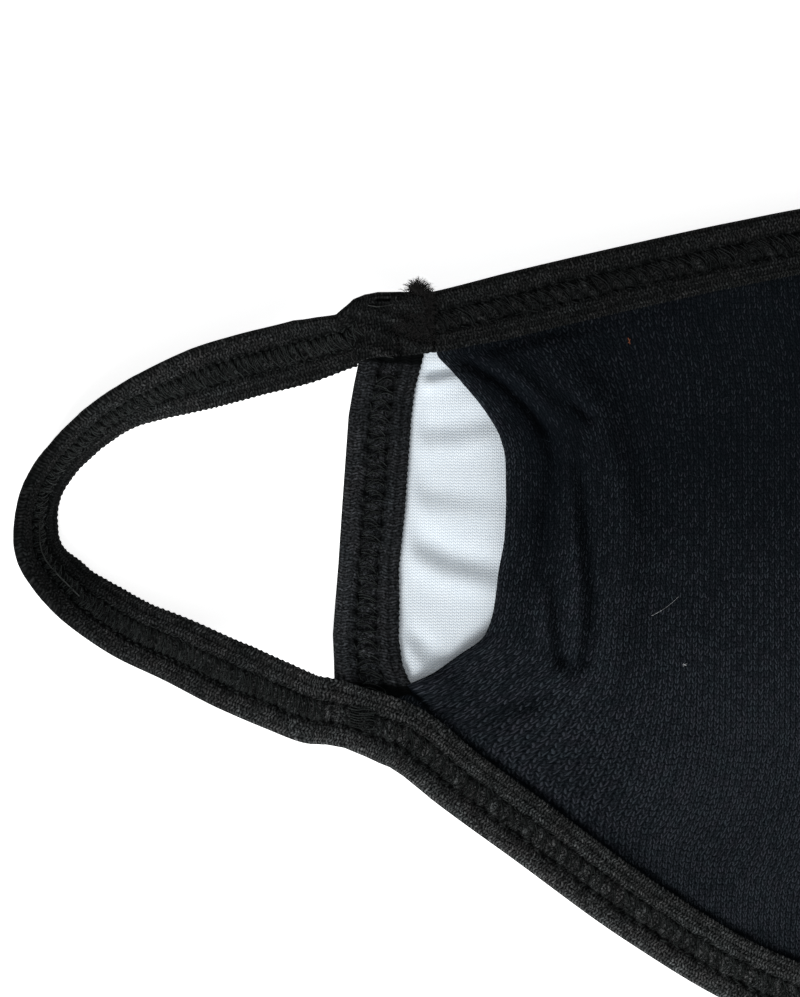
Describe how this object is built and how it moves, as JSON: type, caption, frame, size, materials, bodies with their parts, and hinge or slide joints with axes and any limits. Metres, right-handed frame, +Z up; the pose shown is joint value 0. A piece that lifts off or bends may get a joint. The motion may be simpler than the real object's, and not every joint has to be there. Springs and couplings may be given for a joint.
{
  "type": "cloth face mask",
  "caption": "Reusable cloth face mask with a pocket between its two layers and ear loops of folded elastic, lying front down.",
  "frame": {"origin": "middle of the mask in plan, on the surface that it lies on", "axes": "+X along the mask from the loop with the strip's overlapped end to the other one, +Y towards the nose, +Z up towards the face"},
  "size_m": [0.2792, 0.133, 0.0165],
  "materials": {
    "white_knit": "matt white polyester knit",
    "dark_knit": "matt blue-black cotton knit",
    "black_elastic": "matt black ribbed elastic"
  },
  "bodies": {
    "root": {"outer_panel": "white_knit", "lining_panel": "dark_knit", "top_binding": "black_elastic", "bottom_binding": "black_elastic", "side_binding_left": "black_elastic", "side_binding_right": "black_elastic", "ear_loop_left": "black_elastic", "ear_loop_right": "black_elastic"}
  },
  "joints": []
}
